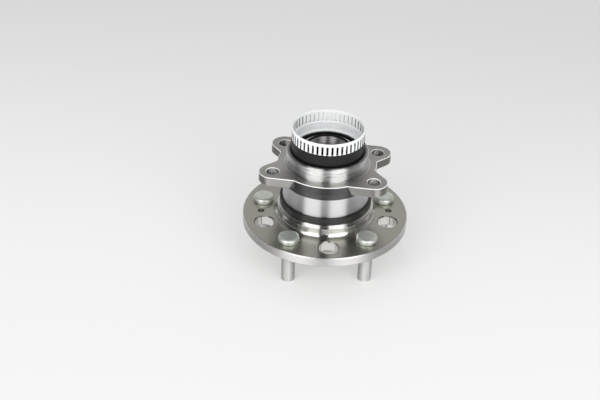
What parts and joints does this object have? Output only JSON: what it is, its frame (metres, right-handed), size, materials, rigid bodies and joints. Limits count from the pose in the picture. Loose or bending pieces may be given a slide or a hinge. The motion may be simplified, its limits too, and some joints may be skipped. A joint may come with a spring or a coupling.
{
  "type": "wheel hub bearing",
  "caption": "Flanged wheel hub turning on two rows of balls in an eared outer ring, with press-in studs and a slotted tone ring for the wheel-speed sensor.",
  "frame": {"origin": "on the turning axis, in the plane of the face that the brake disc and wheel bolt against", "axes": "+Z along the turning axis, inboard, towards the tone ring; +X along the wide spacing of the outer ring's four bolt holes, of which the pair on the -Y side stands wider"},
  "size_m": [0.1468, 0.1468, 0.1275],
  "materials": {
    "outer_ring_steel": "turned and ground, forged between the ears",
    "hub_steel": "turned, with a bright rim",
    "bearing_steel": "ground",
    "ball_steel": "lapped",
    "cage_nylon": "glass-filled nylon",
    "seal_case_steel": "pressed sheet",
    "seal_rubber": "moulded",
    "carrier_plastic": "moulded",
    "tone_ring_zinc": "pale zinc plate",
    "stud_zinc": "zinc plate"
  },
  "bodies": {
    "outer_ring": {"outer_ring": "outer_ring_steel", "outboard_seal_case": "seal_case_steel", "outboard_seal_lip": "seal_rubber", "inboard_seal_case": "seal_case_steel", "inboard_seal_lip": "seal_rubber"},
    "hub": {"wheel_hub": "hub_steel", "inner_ring": "bearing_steel", "inboard_slinger": "seal_case_steel", "tone_ring_carrier": "carrier_plastic", "tone_ring": "tone_ring_zinc", "wheel_stud_1": "stud_zinc", "wheel_stud_2": "stud_zinc", "wheel_stud_3": "stud_zinc", "wheel_stud_4": "stud_zinc", "wheel_stud_5": "stud_zinc"},
    "outboard_ball_set": {"outboard_cage": "cage_nylon", "outboard_ball_01": "ball_steel", "outboard_ball_02": "ball_steel", "outboard_ball_03": "ball_steel", "outboard_ball_04": "ball_steel", "outboard_ball_05": "ball_steel", "outboard_ball_06": "ball_steel", "outboard_ball_07": "ball_steel", "outboard_ball_08": "ball_steel", "outboard_ball_09": "ball_steel", "outboard_ball_10": "ball_steel", "outboard_ball_11": "ball_steel", "outboard_ball_12": "ball_steel", "outboard_ball_13": "ball_steel"},
    "inboard_ball_set": {"inboard_cage": "cage_nylon", "inboard_ball_01": "ball_steel", "inboard_ball_02": "ball_steel", "inboard_ball_03": "ball_steel", "inboard_ball_04": "ball_steel", "inboard_ball_05": "ball_steel", "inboard_ball_06": "ball_steel", "inboard_ball_07": "ball_steel", "inboard_ball_08": "ball_steel", "inboard_ball_09": "ball_steel", "inboard_ball_10": "ball_steel", "inboard_ball_11": "ball_steel", "inboard_ball_12": "ball_steel", "inboard_ball_13": "ball_steel"}
  },
  "joints": [
    {"name": "hub_spin", "type": "hinge", "parent": "outer_ring", "child": "hub", "pos_m": [0, 0, 0.05], "axis": [0, 0, 1], "continuous": true},
    {"name": "outboard_balls_roll", "type": "hinge", "parent": "outer_ring", "child": "outboard_ball_set", "pos_m": [0, 0, 0.0385], "axis": [0, 0, 1], "continuous": true},
    {"name": "inboard_balls_roll", "type": "hinge", "parent": "outer_ring", "child": "inboard_ball_set", "pos_m": [0, 0, 0.0615], "axis": [0, 0, 1], "continuous": true}
  ],
  "couplings": [
    {"joint": "outboard_balls_roll", "follows": "hub_spin", "ratio": 0.41645},
    {"joint": "inboard_balls_roll", "follows": "hub_spin", "ratio": 0.41645}
  ]
}
